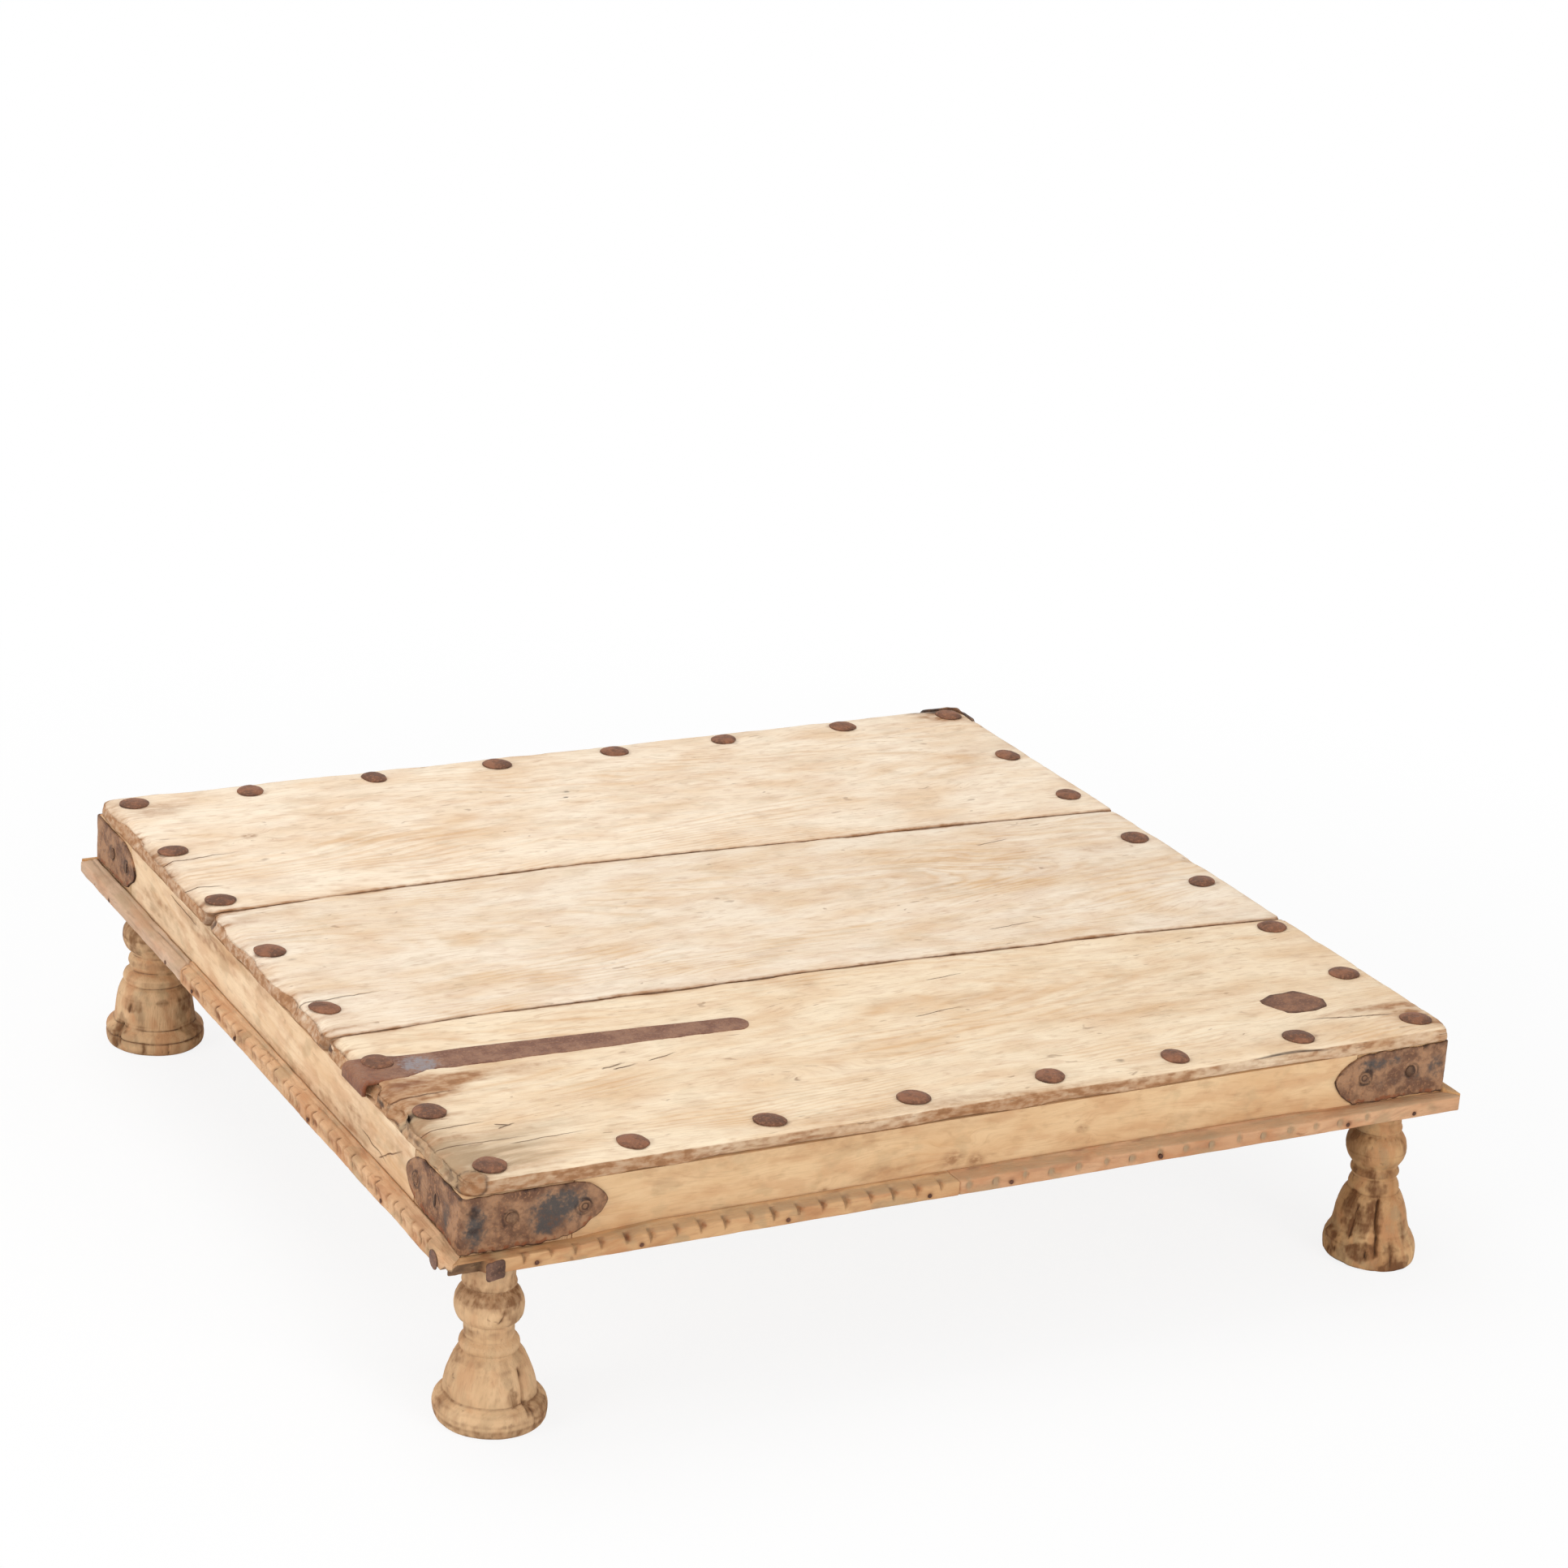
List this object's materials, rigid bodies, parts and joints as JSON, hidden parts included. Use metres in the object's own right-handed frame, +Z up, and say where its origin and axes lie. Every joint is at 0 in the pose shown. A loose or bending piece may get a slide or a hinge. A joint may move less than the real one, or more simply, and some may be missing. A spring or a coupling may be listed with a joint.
{
  "type": "low coffee table",
  "caption": "Low square coffee table: a nailed plank top on a shallow frame with carved edge moulding, iron corner straps and turned bell-footed legs.",
  "frame": {"origin": "on the floor, under the middle of the table", "axes": "+Z up; +X along the planks, towards the right end; +Y across the planks, away from the near side"},
  "size_m": [0.7714, 0.7254, 0.1895],
  "materials": {
    "plank_wood": "bare, scrubbed, worn",
    "rail_wood": "bare, smooth",
    "leg_wood": "bare, turned, dusty",
    "moulding_wood": "bare, chip-carved",
    "strap_iron": "rusted sheet",
    "nail_iron": "rusted, hand forged"
  },
  "bodies": {
    "root": {"plank_far": "plank_wood", "plank_middle": "plank_wood", "plank_near": "plank_wood", "rail_near": "rail_wood", "rail_far": "rail_wood", "rail_left": "rail_wood", "rail_right": "rail_wood", "leg_near": "leg_wood", "leg_right": "leg_wood", "leg_left": "leg_wood", "leg_back": "leg_wood", "moulding_near_a": "moulding_wood", "moulding_near_b": "moulding_wood", "moulding_left_a": "moulding_wood", "moulding_left_b": "moulding_wood", "moulding_far": "moulding_wood", "moulding_right": "moulding_wood", "strap_near": "strap_iron", "strap_right": "strap_iron", "strap_left": "strap_iron", "strap_back": "strap_iron", "strap_nails_near": "nail_iron", "strap_nails_right": "nail_iron", "strap_nails_left": "nail_iron", "strap_nails_back": "nail_iron", "top_nails_near": "nail_iron", "top_nails_far": "nail_iron", "top_nails_left": "nail_iron", "top_nails_right": "nail_iron", "repair_bar": "strap_iron", "bar_pins": "nail_iron", "patch_plate": "strap_iron", "patch_pins": "nail_iron", "moulding_pins": "nail_iron", "corner_nails": "nail_iron"}
  },
  "joints": []
}
